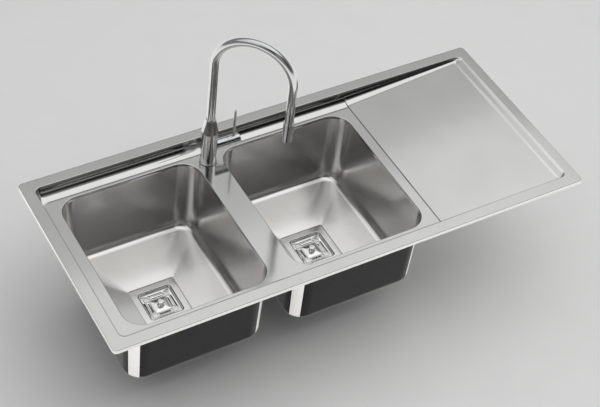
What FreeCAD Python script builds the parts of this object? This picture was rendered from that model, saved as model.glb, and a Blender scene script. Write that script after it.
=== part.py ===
import FreeCAD, Part
import Sketcher
import math
import os
import re

# Inset kitchen sink: a pressed steel deck with two bowls and a sloping drainer,
# square strainer wastes and a gooseneck mixer tap on the bridge between the bowls.
# Millimetres. X runs to the right, Y to the back, Z up. The origin is the middle of
# the sink in plan, and Z is zero on the worktop that the turned-down lip stands on.

doc = FreeCAD.newDocument("kitchen_sink")
sheet = doc.addObject("Spreadsheet::Sheet", "Sizes")

SIZES = (
    # deck
    ("sink_length", 1160, "outside length of the deck"),
    ("sink_depth", 500, "outside depth of the deck, front to back"),
    ("sheet", 1, "thickness of the steel sheet"),
    ("corner_radius", 10, "plan radius of the outer corners"),
    ("lip_height", 10, "height of the turned-down lip"),
    ("lip_radius", 1.6, "bend radius of the lip"),
    ("recess_margin", 27, "outer edge to the wall of the dropped centre"),
    ("recess_drop", 30, "depth of the dropped centre below the flange"),
    ("recess_corner", 21, "plan radius of the dropped centre"),
    ("recess_fillet", 18, "radius at the foot of the wall"),
    ("edge_radius", 1.6, "bend radius where the flange turns down"),
    # drainer
    ("fold_gap", 22.5, "right bowl to the drainer's fold"),
    ("riser_height", 2.5, "step up at the fold"),
    ("riser_run", 1.5, "length of that step"),
    ("drainer_rise", 20, "rise of the drainer to the right wall"),
    # bowls
    ("bowl_width", 330, "bowl opening, left to right"),
    ("bowl_length", 385, "bowl opening, front to back"),
    ("bowl_corner", 46, "plan radius of the bowl opening"),
    ("bowl_inset", 63.5, "left end of the sink to the first bowl"),
    ("bridge", 60, "strip between the bowls"),
    ("rim_radius", 1.6, "bend radius round each opening"),
    ("collar", 8, "deck surface down to the weld"),
    ("bowl_depth", 195, "deck surface down to the floor's edge"),
    ("wall_draft", 5, "lean of each wall over its height"),
    ("floor_fillet", 20, "radius between wall and floor"),
    ("floor_fall", 11, "fall of the floor to the drain"),
    ("drain_square", 112, "side of the square seat in the floor"),
    ("drain_corner", 4, "corner radius of that seat"),
    ("drain_seat", 3, "depth of that seat"),
    ("drain_hole", 88, "side of the hole in the seat"),
    ("drain_hole_corner", 10, "corner radius of that hole"),
    # rim seal and clip lugs
    ("seal_inset", 5, "outer edge of the deck to the seal"),
    ("seal_width", 5, "width of the seal"),
    ("lug_width", 16, "width of a clip lug"),
    ("lug_sheet", 1.5, "thickness of a clip lug"),
    ("lug_top", 5, "top of the lug above the worktop"),
    ("lug_foot", 20, "foot of the lug below the worktop"),
    ("lug_taper", 4, "chamfer at the lug's foot"),
    ("window_width", 9, "width of the window in the lug"),
    ("window_height", 5, "height of that window"),
    # wastes
    ("plate_square", 110, "side of the drain plate"),
    ("plate_corner", 3.5, "corner radius of the drain plate"),
    ("plate_sheet", 2, "thickness of the drain plate"),
    ("pan_square", 84, "outside of the pan under the plate"),
    ("pan_corner", 9, "outer corner radius of the pan"),
    ("pan_wall", 1.5, "wall of the pan"),
    ("pan_depth", 18, "depth of the pan below the seat"),
    ("outlet_radius", 5, "radius of one outlet hole in the pan"),
    ("outlet_ring", 21, "ring radius of the outlet holes"),
    ("outlet_count", 8, "number of outlet holes"),
    ("gasket_thick", 3, "thickness of the waste gasket"),
    ("waste_rim", 4, "thickness of the waste body's rim"),
    ("waste_wall", 3, "wall of the waste body"),
    ("waste_box", 24, "height of its square part below the rim"),
    ("waste_funnel", 22, "height of its funnel"),
    ("tail_radius", 23.9, "outside radius of the tail for the trap nut"),
    ("tail_length", 38, "length of the tail"),
    ("boss_radius", 8, "radius of the screw boss in the waste body"),
    ("waste_rib", 3, "thickness of the ribs that hold the boss"),
    ("waste_screw_radius", 3.9, "radius of the waste screw"),
    ("waste_head_radius", 7, "radius of its head"),
    ("waste_head_height", 2.5, "height of its head"),
    ("waste_screw_length", 18, "length of its shank"),
    ("strainer_play", 1.2, "gap round the strainer in the pan"),
    ("strainer_corner", 6.5, "corner radius of the strainer"),
    ("strainer_sheet", 1.2, "sheet of the strainer"),
    ("strainer_depth", 9, "depth of the strainer tray"),
    ("strainer_drop", 1, "strainer rim below the drain plate"),
    ("strainer_ring", 9, "step between the square ridges"),
    ("ridge_height", 2, "height of the square ridges"),
    ("ridge_width", 2.5, "width of the square ridges"),
    ("slot_length", 36, "length of the longest slots"),
    ("slot_width", 3, "width of the slots"),
    ("knob_radius", 8, "radius of the lifting knob"),
    ("knob_height", 13, "height of the lifting knob"),
    ("knob_stem", 3, "radius of its stem"),
    ("strainer_seal_width", 4, "width of the seal under the strainer"),
    # tap on the deck
    ("tap_setback", 75, "back edge of the sink to the tap"),
    ("tap_hole", 17.5, "radius of the tap hole"),
    ("foot_seal", 1, "thickness of the seal under the foot"),
    ("foot_radius", 19.5, "radius of the foot ring"),
    ("foot_height", 4, "height of the foot ring"),
    ("body_radius", 18.5, "radius of the tap body"),
    ("body_top", 92, "top of the tap body above the deck"),
    ("socket_radius", 13.5, "bore for the spout at the top of the body"),
    ("socket_depth", 34, "depth of that bore"),
    ("water_radius", 7, "water way in the body"),
    ("shank_radius", 16, "radius of the threaded shank"),
    ("shank_length", 58, "shank below the deck"),
    ("spigot_radius", 12, "spigot of the shank in the body"),
    ("spigot_height", 16, "height of that spigot"),
    ("fit_play", 0.05, "radial play of a fitted joint"),
    ("inlet_radius", 4.5, "core radius of the two hose inlets"),
    ("inlet_place", 7.5, "shank axis to a hose inlet"),
    ("inlet_depth", 50, "depth of a hose inlet"),
    ("clamp_radius", 27, "radius of the clamp washers"),
    ("clamp_rubber", 3, "thickness of the rubber washer"),
    ("clamp_plate", 2, "thickness of the steel washer"),
    ("clamp_nut", 10, "height of the clamp nut"),
    ("clamp_nut_flats", 42, "clamp nut across flats"),
    # lever
    ("hub_level", 44, "lever axis above the deck"),
    ("hub_radius", 11.5, "radius of the boss and the hub"),
    ("boss_end", 45, "tap axis to the end of the boss"),
    ("hub_end", 75, "tap axis to the end of the hub"),
    ("seam", 0.5, "gap between fixed and turning pieces"),
    ("hub_chamfer", 1, "chamfer of the hub"),
    ("cartridge_radius", 9, "radius of the cartridge"),
    ("cartridge_start", 12, "tap axis to the inner end of the cartridge"),
    ("cartridge_nut", 5, "length of the cartridge nut"),
    ("spindle_radius", 4, "radius of the spindle"),
    ("spindle_depth", 14, "spindle inside the hub"),
    ("pin_place", 61, "tap axis to the lever pin"),
    ("pin_radius", 3, "radius of the lever pin"),
    ("pin_top", 87, "lever axis to the tip of the pin"),
    ("pin_socket", 6, "depth of the pin's socket in the hub"),
    ("grub_place", 54, "tap axis to the grub screw"),
    ("grub_radius", 2, "radius of the grub screw"),
    # spout
    ("spout_turn", 49.5, "degrees that the spout is swung to the front"),
    ("tube_radius", 9.6, "radius of the spout tube"),
    ("tube_wall", 1.3, "wall of the spout tube"),
    ("bend_start", 288, "start of the bend above the deck"),
    ("bend_radius", 88.5, "radius of the bend"),
    ("cone_height", 37, "height of the tapered collar"),
    ("cone_top_radius", 11.3, "radius of the collar at its top"),
    ("tube_tail", 26, "spout tube inside the body"),
    ("bush_height", 9, "height of the swivel bush"),
    ("ring_radius", 1.7, "section radius of the O-rings"),
    ("ring_step", 6, "step between the O-rings"),
    ("outlet_level", 141.5, "end of the spout above the deck"),
    ("sleeve_radius", 11.7, "radius of the outlet sleeve"),
    ("sleeve_length", 51, "length of the outlet sleeve"),
    ("sleeve_groove", 20, "sleeve's end to the groove round it"),
    ("sleeve_hold", 20, "tube inside the sleeve"),
    ("aerator_height", 9, "height of the outlet insert"),
    ("aerator_inset", 1.5, "outlet insert above the sleeve's end"),
    ("jet_radius", 0.8, "radius of one jet hole"),
    ("jet_step", 3, "ring step of the jet holes"),
    # all cuts
    ("overrun", 2, "how far cutters pass a face"),
)

for row, (alias, value, meaning) in enumerate(SIZES, 1):
    sheet.set("A%d" % row, alias)
    sheet.set("B%d" % row, str(value))
    sheet.setAlias("B%d" % row, alias)
    sheet.set("C%d" % row, meaning)
doc.recompute()

ALIASES = [alias for alias, value, meaning in SIZES]

# Places that several pieces share, as expressions of the sizes above.
DECK_LEVEL = "(lip_height - recess_drop)"
RECESS_LENGTH = "(sink_length - 2 * recess_margin)"
RECESS_DEPTH = "(sink_depth - 2 * recess_margin)"
BOWL_PLACE = {
    "left": "(-sink_length / 2 + bowl_inset + bowl_width / 2)",
    "right": "(-sink_length / 2 + bowl_inset + bowl_width * 1.5 + bridge)",
}
TAP_X = "(-sink_length / 2 + bowl_inset + bowl_width + bridge / 2)"
TAP_Y = "(sink_depth / 2 - tap_setback)"
FOLD = "(-sink_length / 2 + bowl_inset + 2 * bowl_width + bridge + fold_gap)"
SEAT_LEVEL = "(%s - bowl_depth - floor_fall - drain_seat)" % DECK_LEVEL


def cells(expression):
    """Write an expression of aliases the way the document reads it."""
    return re.sub(r"[a-z_]+", lambda word: "Sizes." + word.group()
                  if word.group() in ALIASES else word.group(), str(expression))


def size(expression):
    """Current value of an expression of aliases."""
    return float(sheet.evalExpression(str(expression)))


def bind(item, prop, expression):
    item.setExpression(prop, cells(expression))


def new_body(label, x="0", y="0", z="0", turn=None):
    """An empty body standing at a place given by expressions."""
    body = doc.addObject("PartDesign::Body", label)
    if turn:
        body.Placement.Rotation = FreeCAD.Rotation(FreeCAD.Vector(*turn[0]), turn[1])
    for axis, place in (("x", x), ("y", y), ("z", z)):
        bind(body, "Placement.Base." + axis, place)
    return body


def new_sketch(body, role, lift="0"):
    """A sketch on one of the body's own origin planes, lifted along its normal."""
    sketch = body.newObject("Sketcher::SketchObject", body.Name + "_sketch")
    plane = [item for item in body.Origin.OriginFeatures if item.Role == role][0]
    sketch.AttachmentSupport = [(plane, "")]
    sketch.MapMode = "FlatFace"
    bind(sketch, "AttachmentOffset.Base.z", lift)
    return sketch


def dimension(sketch, kind, geometry, point, expression):
    """Hold one point of the sketch at a bound distance from the origin."""
    value = size(expression)
    if abs(value) < 1e-9:
        axis = -2 if kind == "DistanceX" else -1
        sketch.addConstraint(Sketcher.Constraint("PointOnObject", geometry, point, axis))
        return
    index = sketch.addConstraint(Sketcher.Constraint(kind, -1, 1, geometry, point, value))
    bind(sketch, "Constraints[%d]" % index, expression)


def polygon(sketch, points):
    """A closed outline of straight lines through bound points."""
    corners = [FreeCAD.Vector(size(x), size(y), 0) for x, y in points]
    first = sketch.GeometryCount
    count = len(points)
    for i in range(count):
        sketch.addGeometry(Part.LineSegment(corners[i], corners[(i + 1) % count]))
    for i, (x, y) in enumerate(points):
        follower = first + (i + 1) % count
        sketch.addConstraint(Sketcher.Constraint("Coincident", first + i, 2, follower, 1))
        dimension(sketch, "DistanceX", first + i, 1, x)
        dimension(sketch, "DistanceY", first + i, 1, y)


def rounded_rectangle(sketch, width, height, radius, x="0", y="0"):
    """A rectangle with round corners about a bound centre."""
    first = sketch.GeometryCount
    quarter = math.pi / 2
    signs = ((1, 1), (-1, 1), (-1, -1), (1, -1))
    middles = [("%s + %d * ((%s) / 2 - (%s))" % (x, across, width, radius),
                "%s + %d * ((%s) / 2 - (%s))" % (y, along, height, radius))
               for across, along in signs]
    round_by = size(radius)
    for i, (cx, cy) in enumerate(middles):
        circle = Part.Circle(FreeCAD.Vector(size(cx), size(cy), 0), FreeCAD.Vector(0, 0, 1), round_by)
        sketch.addGeometry(Part.ArcOfCircle(circle, i * quarter, (i + 1) * quarter))
    arcs = [sketch.Geometry[first + i] for i in range(4)]
    for i in range(4):
        line = Part.LineSegment(arcs[i].EndPoint, arcs[(i + 1) % 4].StartPoint)
        sketch.addGeometry(line)
    for i, (cx, cy) in enumerate(middles):
        line = first + 4 + i
        sketch.addConstraint(Sketcher.Constraint("Tangent", first + i, 2, line, 1))
        sketch.addConstraint(Sketcher.Constraint("Tangent", line, 2, first + (i + 1) % 4, 1))
        dimension(sketch, "DistanceX", first + i, 3, cx)
        dimension(sketch, "DistanceY", first + i, 3, cy)
        if i:
            sketch.addConstraint(Sketcher.Constraint("Equal", first, first + i))
    index = sketch.addConstraint(Sketcher.Constraint("Radius", first, round_by))
    bind(sketch, "Constraints[%d]" % index, radius)


def circle(sketch, radius, x="0", y="0"):
    """A bound circle about a bound centre."""
    place = FreeCAD.Vector(size(x), size(y), 0)
    ring = sketch.addGeometry(Part.Circle(place, FreeCAD.Vector(0, 0, 1), size(radius)))
    index = sketch.addConstraint(Sketcher.Constraint("Radius", ring, size(radius)))
    bind(sketch, "Constraints[%d]" % index, radius)
    dimension(sketch, "DistanceX", ring, 3, x)
    dimension(sketch, "DistanceY", ring, 3, y)


def extrude(kind, body, sketch, length, reverse=False, middle=False):
    """A Pad or a Pocket of a bound length."""
    feature = body.newObject("PartDesign::" + kind, body.Name + "_" + kind.lower())
    feature.Profile = sketch
    feature.Reversed = reverse
    feature.Midplane = middle
    bind(feature, "Length", length)
    doc.recompute()
    return feature


def soften(kind, body, chosen, amount):
    """A Fillet or a Chamfer on the edges that a test picks out."""
    base = body.Tip
    names = ["Edge%d" % i for i, edge in enumerate(base.Shape.Edges, 1) if chosen(edge)]
    feature = body.newObject("PartDesign::" + kind, body.Name + "_" + kind.lower())
    feature.Base = (base, names)
    bind(feature, "Radius" if kind == "Fillet" else "Size", amount)
    doc.recompute()
    return feature


def at_level(level, width=None, length=None):
    """A test for edges lying in one level, inside a rectangle about the origin."""
    height = size(level)
    limits = [size(limit) / 2 if limit else math.inf for limit in (width, length)]
    tiny = size("sheet") / 100

    def test(edge):
        box = edge.BoundBox
        flat = abs(box.ZMin - height) < tiny and abs(box.ZMax - height) < tiny
        across = max(abs(box.XMin), abs(box.XMax)) < limits[0] + tiny
        along = max(abs(box.YMin), abs(box.YMax)) < limits[1] + tiny
        return flat and across and along
    return test


def revolve(body, points, kind="Revolution"):
    """Turn a closed outline of radius and height round the body's Z axis."""
    sketch = new_sketch(body, "XZ_Plane")
    polygon(sketch, points)
    feature = body.newObject("PartDesign::" + kind, body.Name + "_turned")
    feature.Profile = sketch
    feature.ReferenceAxis = (sketch, ["V_Axis"])
    feature.Angle = 360
    doc.recompute()
    return feature


def turned(label, points, x="0", y="0", z="0", turn=None):
    body = new_body(label, x, y, z, turn)
    revolve(body, points)
    return body


def tube(inner, outer, low, high):
    """Outline of a plain ring, as radius and height."""
    return ((inner, low), (outer, low), (outer, high), (inner, high))


def cut(label, base, tool):
    result = doc.addObject("Part::Cut", label)
    result.Base = base
    result.Tool = tool
    doc.recompute()
    return result


def group(label, pieces):
    result = doc.addObject("Part::Compound", label)
    result.Links = pieces
    doc.recompute()
    return result


nodes = []

# The deck is an outer form minus an inner form. Both are pressed by the same steps,
# the outer one larger by the sheet: the dropped centre, the drainer's slope, which
# rises out of the round foot of the wall, and the collars of the two bowl openings.


def press_deck(body, skin, collar_length):
    top = "(lip_height - %s)" % skin
    floor = "(%s - recess_drop)" % top
    length = "(%s + 2 * %s)" % (RECESS_LENGTH, skin)
    depth = "(%s + 2 * %s)" % (RECESS_DEPTH, skin)
    sketch = new_sketch(body, "XY_Plane", top)
    rounded_rectangle(sketch, length, depth, "recess_corner + %s" % skin)
    extrude("Pad", body, sketch, "recess_drop", reverse=True)
    soften("Fillet", body, at_level(floor), "recess_fillet + %s" % skin)
    soften("Fillet", body, at_level(top, length, depth), "edge_radius - %s" % skin)
    slope = new_sketch(body, "XZ_Plane")
    start = "%s + %s" % (FOLD, skin)
    end = "%s / 2 + overrun" % length
    under = "%s - overrun" % floor
    polygon(slope, ((start, under), (start, floor),
                    ("%s + riser_run" % start, "%s + riser_height" % floor),
                    (end, "%s + drainer_rise" % floor), (end, under)))
    extrude("Pocket", body, slope, "sink_depth", middle=True)
    openings = new_sketch(body, "XY_Plane", floor)
    width = "(bowl_width + 2 * %s)" % skin
    run = "(bowl_length + 2 * %s)" % skin
    for place in BOWL_PLACE.values():
        rounded_rectangle(openings, width, run, "bowl_corner + %s" % skin, x=place)
    extrude("Pad", body, openings, collar_length, reverse=True)
    soften("Fillet", body, at_level(floor, None, run), "rim_radius - %s" % skin)


deck_outside = new_body("deck_outside")
plate = new_sketch(deck_outside, "XY_Plane")
rounded_rectangle(plate, "sink_length", "sink_depth", "corner_radius")
extrude("Pad", deck_outside, plate, "lip_height")
hollow = new_sketch(deck_outside, "XY_Plane")
rounded_rectangle(hollow, "sink_length - 2 * sheet", "sink_depth - 2 * sheet", "corner_radius - sheet")
extrude("Pocket", deck_outside, hollow, "lip_height - sheet", reverse=True)
soften("Fillet", deck_outside, at_level("lip_height - sheet"), "lip_radius - sheet")
soften("Fillet", deck_outside, at_level("lip_height"), "lip_radius")
press_deck(deck_outside, "sheet", "collar - sheet")

deck_inside = new_body("deck_inside")
above = new_sketch(deck_inside, "XY_Plane", "lip_height")
rounded_rectangle(above, "sink_length", "sink_depth", "corner_radius")
extrude("Pad", deck_inside, above, "overrun")
press_deck(deck_inside, "0", "collar + overrun")
tap_opening = new_sketch(deck_inside, "XY_Plane", DECK_LEVEL)
circle(tap_opening, "tap_hole", TAP_X, TAP_Y)
extrude("Pad", deck_inside, tap_opening, "sheet + overrun", reverse=True)
nodes.append(cut("deck_panel", deck_outside, deck_inside))

# Each bowl is an outer form minus an inner form as well: one ruled loft through the
# weld line, the edge of the floor and the drain seat gives the leaning walls and the
# four folds of the floor in one feature.


def press_bowl(body, skin):
    levels = ((DECK_LEVEL + " - collar", "bowl_width", "bowl_length", "bowl_corner"),
              (DECK_LEVEL + " - bowl_depth - %s" % skin, "bowl_width - 2 * wall_draft",
               "bowl_length - 2 * wall_draft", "bowl_corner - wall_draft"),
              (DECK_LEVEL + " - bowl_depth - floor_fall - %s" % skin, "drain_square",
               "drain_square", "drain_corner"))
    sections = []
    for level, width, length, corner in levels:
        sketch = new_sketch(body, "XY_Plane", level)
        rounded_rectangle(sketch, "%s + 2 * %s" % (width, skin), "%s + 2 * %s" % (length, skin),
                          "%s + %s" % (corner, skin))
        sections.append(sketch)
    doc.recompute()
    loft = body.newObject("PartDesign::AdditiveLoft", body.Name + "_loft")
    loft.Profile = sections[0]
    loft.Sections = sections[1:]
    loft.Ruled = True
    doc.recompute()
    soften("Fillet", body, at_level(levels[1][0]), "floor_fillet + %s" % skin)
    seat = new_sketch(body, "XY_Plane", levels[2][0])
    rounded_rectangle(seat, "drain_square + 2 * %s" % skin, "drain_square + 2 * %s" % skin,
                      "drain_corner + %s" % skin)
    extrude("Pad", body, seat, "drain_seat", reverse=True)


def make_bowl(side):
    outside = new_body(side + "_bowl_outside", x=BOWL_PLACE[side])
    press_bowl(outside, "sheet")
    inside = new_body(side + "_bowl_inside", x=BOWL_PLACE[side])
    press_bowl(inside, "0")
    hole = new_sketch(inside, "XY_Plane", SEAT_LEVEL)
    rounded_rectangle(hole, "drain_hole", "drain_hole", "drain_hole_corner")
    extrude("Pad", inside, hole, "sheet + overrun", reverse=True)
    nodes.append(cut(side + "_bowl", outside, inside))


for side in BOWL_PLACE:
    make_bowl(side)

# Foam seal under the flange.

rim_seal = new_body("rim_seal")
strip = new_sketch(rim_seal, "XY_Plane")
rounded_rectangle(strip, "sink_length - 2 * seal_inset", "sink_depth - 2 * seal_inset",
                  "corner_radius")
rounded_rectangle(strip, "sink_length - 2 * (seal_inset + seal_width)",
                  "sink_depth - 2 * (seal_inset + seal_width)", "corner_radius - seal_width")
extrude("Pad", rim_seal, strip, "lip_height - sheet")
nodes.append(rim_seal)

# Lugs welded to the wall of the dropped centre, each with a window that a worktop
# clip hooks into. They end above the line of the lip, so they stay out of sight.

clip_lug = new_body("clip_lug")
lug_view = new_sketch(clip_lug, "XZ_Plane")
lug_half = "lug_width / 2"
lug_point = "lug_width / 2 - lug_taper"
polygon(lug_view, (("-" + lug_half, "lug_top"), ("-" + lug_half, "lug_taper - lug_foot"),
                   ("-(%s)" % lug_point, "-lug_foot"), (lug_point, "-lug_foot"),
                   (lug_half, "lug_taper - lug_foot"), (lug_half, "lug_top")))
extrude("Pad", clip_lug, lug_view, "lug_sheet", reverse=True)
window = new_sketch(clip_lug, "XZ_Plane")
window_middle = "lug_taper + window_height / 2 - lug_foot"
rounded_rectangle(window, "window_width", "window_height", "window_height / 4", y=window_middle)
extrude("Pocket", clip_lug, window, "lug_sheet + overrun")

LONG_SIDE_SHARES = (-0.39, -0.14, 0.11, 0.38)
WALL_BACK = "(%s / 2 + sheet)" % RECESS_DEPTH
WALL_END = "(%s / 2 + sheet)" % RECESS_LENGTH
lug_places = [(WALL_END, "0", -90), ("-" + WALL_END, "0", 90)]
for share in LONG_SIDE_SHARES:
    lug_places.append(("%g * sink_length" % share, WALL_BACK, 0))
    lug_places.append(("%g * sink_length" % share, "-" + WALL_BACK, 180))
lugs = []
for x, y, angle in lug_places:
    link = doc.addObject("App::Link", "clip_lug_place")
    link.LinkedObject = clip_lug
    link.LinkTransform = False
    link.Placement.Rotation = FreeCAD.Rotation(FreeCAD.Vector(0, 0, 1), angle)
    bind(link, "Placement.Base.x", x)
    bind(link, "Placement.Base.y", y)
    lugs.append(link)
nodes.append(group("clip_lugs", lugs))

# Square wastes. Heights in each body are measured from the seat in the bowl's floor.

STRAINER = "(pan_square - 2 * pan_wall - 2 * strainer_play)"
STRAINER_TOP = "(plate_sheet - strainer_drop)"
STRAINER_FLOOR = "(%s - strainer_depth)" % STRAINER_TOP
PAN_FLOOR = "(-pan_depth + pan_wall)"
RIM_TOP = "(-sheet - gasket_thick)"
QUARTERS = (0, 90, 180, 270)


def square(body, role_lift, side, corner):
    sketch = new_sketch(body, "XY_Plane", role_lift)
    rounded_rectangle(sketch, side, side, corner)
    return sketch


def polar(body, feature, count):
    """Repeat a feature round the body's Z axis."""
    pattern = body.newObject("PartDesign::PolarPattern", body.Name + "_pattern")
    pattern.Originals = [feature]
    pattern.Axis = (feature.Profile[0], ["N_Axis"])
    pattern.Angle = 360
    bind(pattern, "Occurrences", count)
    body.Tip = pattern
    doc.recompute()
    return pattern


def make_waste_flange(side, place):
    body = new_body(side + "_waste_flange", *place)
    extrude("Pad", body, square(body, "0", "plate_square", "plate_corner"), "plate_sheet")
    extrude("Pad", body, square(body, "0", "pan_square", "pan_corner"), "pan_depth", reverse=True)
    inside = square(body, "plate_sheet", "pan_square - 2 * pan_wall", "pan_corner - pan_wall")
    extrude("Pocket", body, inside, "plate_sheet + pan_depth - pan_wall")
    centre = new_sketch(body, "XY_Plane", PAN_FLOOR)
    circle(centre, "waste_screw_radius + fit_play")
    extrude("Pocket", body, centre, "pan_wall + overrun")
    outlet = new_sketch(body, "XY_Plane", PAN_FLOOR)
    circle(outlet, "outlet_radius", x="outlet_ring")
    polar(body, extrude("Pocket", body, outlet, "pan_wall + overrun"), "outlet_count")
    nodes.append(body)


def make_waste_gasket(side, place):
    body = new_body(side + "_waste_gasket", *place)
    ring = square(body, "-sheet", "plate_square", "drain_corner")
    rounded_rectangle(ring, "drain_hole", "drain_hole", "drain_hole_corner")
    extrude("Pad", body, ring, "gasket_thick", reverse=True)
    nodes.append(body)


def loft_between(body, kind, sections):
    loft = body.newObject("PartDesign::" + kind, body.Name + "_funnel")
    loft.Profile = sections[0]
    loft.Sections = sections[1:]
    loft.Ruled = True
    doc.recompute()


def make_waste_body(side, place):
    body = new_body(side + "_waste_body", *place)
    box = "(drain_hole + 2 * waste_wall)"
    box_low = "(%s - waste_box)" % RIM_TOP
    funnel_low = "(%s - waste_funnel)" % box_low
    extrude("Pad", body, square(body, RIM_TOP, "plate_square", "drain_corner"), "waste_rim", reverse=True)
    extrude("Pad", body, square(body, RIM_TOP, box, "drain_hole_corner + waste_wall"),
            "waste_box", reverse=True)
    ends = [square(body, box_low, box, "drain_hole_corner + waste_wall"),
            square(body, funnel_low, "2 * tail_radius", "tail_radius - fit_play")]
    doc.recompute()
    loft_between(body, "AdditiveLoft", ends)
    tail = new_sketch(body, "XY_Plane", funnel_low)
    circle(tail, "tail_radius")
    extrude("Pad", body, tail, "tail_length", reverse=True)
    extrude("Pocket", body, square(body, RIM_TOP, "drain_hole", "drain_hole_corner"), "waste_box")
    bore = "(tail_radius - waste_wall)"
    ends = [square(body, box_low, "drain_hole", "drain_hole_corner"),
            square(body, funnel_low, "2 * %s" % bore, "%s - fit_play" % bore)]
    doc.recompute()
    loft_between(body, "SubtractiveLoft", ends)
    way = new_sketch(body, "XY_Plane", funnel_low)
    circle(way, bore)
    extrude("Pocket", body, way, "tail_length")
    boss = new_sketch(body, "XY_Plane", "-pan_depth")
    circle(boss, "boss_radius")
    extrude("Pad", body, boss, "waste_screw_length", reverse=True)
    rib = new_sketch(body, "XY_Plane", "-pan_depth")
    reach = "(drain_hole / 2 + waste_wall / 2)"
    polygon(rib, (("-" + reach, "-waste_rib / 2"), (reach, "-waste_rib / 2"),
                  (reach, "waste_rib / 2"), ("-" + reach, "waste_rib / 2")))
    extrude("Pad", body, rib, "waste_rib", reverse=True)
    thread = new_sketch(body, "XY_Plane", "-pan_depth")
    circle(thread, "waste_screw_radius + fit_play")
    extrude("Pocket", body, thread, "waste_screw_length - pan_wall + seam")
    nodes.append(body)


def make_waste_screw(side, place):
    head = PAN_FLOOR
    end = "(%s - waste_screw_length)" % PAN_FLOOR
    top = "(%s + waste_head_height)" % PAN_FLOOR
    nodes.append(turned(side + "_waste_screw", (
        ("0", end), ("waste_screw_radius", end), ("waste_screw_radius", head),
        ("waste_head_radius", head), ("waste_head_radius", top), ("0", top)), *place))


def make_strainer(side, place):
    body = new_body(side + "_strainer_basket", *place)
    extrude("Pad", body, square(body, STRAINER_TOP, STRAINER, "strainer_corner"),
            "strainer_depth", reverse=True)
    tray = "(%s - 2 * strainer_sheet)" % STRAINER
    extrude("Pocket", body, square(body, STRAINER_TOP, tray, "strainer_corner - strainer_sheet"),
            "strainer_depth - strainer_sheet")
    ridge_base = "(%s + strainer_sheet)" % STRAINER_FLOOR
    ridges = new_sketch(body, "XY_Plane", ridge_base)
    for step in (1, 2):
        outer = "(%s - 2 * %d * strainer_ring)" % (STRAINER, step)
        inner = "(%s - 2 * ridge_width)" % outer
        rounded_rectangle(ridges, outer, outer, "strainer_corner")
        rounded_rectangle(ridges, inner, inner, "strainer_corner - ridge_width")
    extrude("Pad", body, ridges, "ridge_height")
    slots = new_sketch(body, "XY_Plane", ridge_base)
    for step in (0, 1):
        away = "(%s / 2 - %d * strainer_ring - strainer_ring / 2 - ridge_width)" % (STRAINER, step)
        span = "(slot_length - %d * strainer_ring)" % step
        rounded_rectangle(slots, span, "slot_width", "slot_width / 2 - fit_play", y=away)
    polar(body, extrude("Pocket", body, slots, "strainer_sheet + overrun"), len(QUARTERS))
    stem = new_sketch(body, "XY_Plane", ridge_base)
    circle(stem, "knob_stem + fit_play")
    extrude("Pocket", body, stem, "strainer_sheet + overrun")
    nodes.append(body)


def make_strainer_knob(side, place):
    low = STRAINER_FLOOR
    base = "(%s + strainer_sheet)" % STRAINER_FLOOR
    waist = "(%s + knob_height / 2)" % base
    top = "(%s + knob_height)" % base
    body = turned(side + "_strainer_knob", (
        ("0", low), ("knob_stem", low), ("knob_stem", base), ("knob_radius", base),
        ("knob_stem + knob_radius / 4", "%s + knob_height / 4" % base),
        ("knob_stem + knob_radius / 4", waist), ("knob_radius", "%s + knob_height / 5" % waist),
        ("knob_radius", "%s - knob_height / 6" % top), ("knob_radius * 0.6", top), ("0", top)), *place)
    nodes.append(body)


def make_strainer_seal(side, place):
    body = new_body(side + "_strainer_seal", *place)
    outer = "(%s - 2 * strainer_sheet)" % STRAINER
    ring = square(body, STRAINER_FLOOR, outer, "strainer_corner - strainer_sheet")
    rounded_rectangle(ring, "%s - 2 * strainer_seal_width" % outer,
                      "%s - 2 * strainer_seal_width" % outer,
                      "(strainer_corner - strainer_sheet) / 2")
    extrude("Pad", body, ring, "pan_depth - pan_wall + %s - seam" % STRAINER_FLOOR, reverse=True)
    nodes.append(body)


for side in BOWL_PLACE:
    waste_place = (BOWL_PLACE[side], "0", SEAT_LEVEL)
    make_waste_flange(side, waste_place)
    make_waste_gasket(side, waste_place)
    make_waste_body(side, waste_place)
    make_waste_screw(side, waste_place)
    make_strainer(side, waste_place)
    make_strainer_knob(side, waste_place)
    make_strainer_seal(side, waste_place)

# The tap. Heights in each body are measured from the deck under the tap.

TAP_PLACE = (TAP_X, TAP_Y, DECK_LEVEL)
FOOT_TOP = "(foot_seal + foot_height)"

nodes.append(turned("tap_base_seal", tube("shank_radius + fit_play", "foot_radius - foot_seal",
                                          "0", "foot_seal"), *TAP_PLACE))

nodes.append(turned("tap_base_ring", (
    ("shank_radius + fit_play", "foot_seal"), ("foot_radius", "foot_seal"),
    ("foot_radius", "%s - foot_seal" % FOOT_TOP), ("foot_radius - foot_seal", FOOT_TOP),
    ("shank_radius + fit_play", FOOT_TOP)), *TAP_PLACE))

tap_body = new_body("tap_body", *TAP_PLACE)
spigot_top = "(%s + spigot_height)" % FOOT_TOP
socket_floor = "(body_top - socket_depth)"
revolve(tap_body, (
    ("spigot_radius", FOOT_TOP), ("body_radius", FOOT_TOP), ("body_radius", "body_top"),
    ("socket_radius", "body_top"), ("socket_radius", socket_floor), ("water_radius", socket_floor),
    ("water_radius", spigot_top), ("spigot_radius", spigot_top)))
side_boss = new_sketch(tap_body, "YZ_Plane", "body_radius / 2")
circle(side_boss, "hub_radius", y="hub_level")
extrude("Pad", tap_body, side_boss, "boss_end - body_radius / 2")
boss_bore = new_sketch(tap_body, "YZ_Plane", "boss_end")
circle(boss_bore, "cartridge_radius + fit_play", y="hub_level")
extrude("Pocket", tap_body, boss_bore, "boss_end - cartridge_start")
inner_bore = new_sketch(tap_body, "XY_Plane", socket_floor)
circle(inner_bore, "water_radius")
extrude("Pocket", tap_body, inner_bore, "%s - %s" % (socket_floor, spigot_top))
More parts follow.
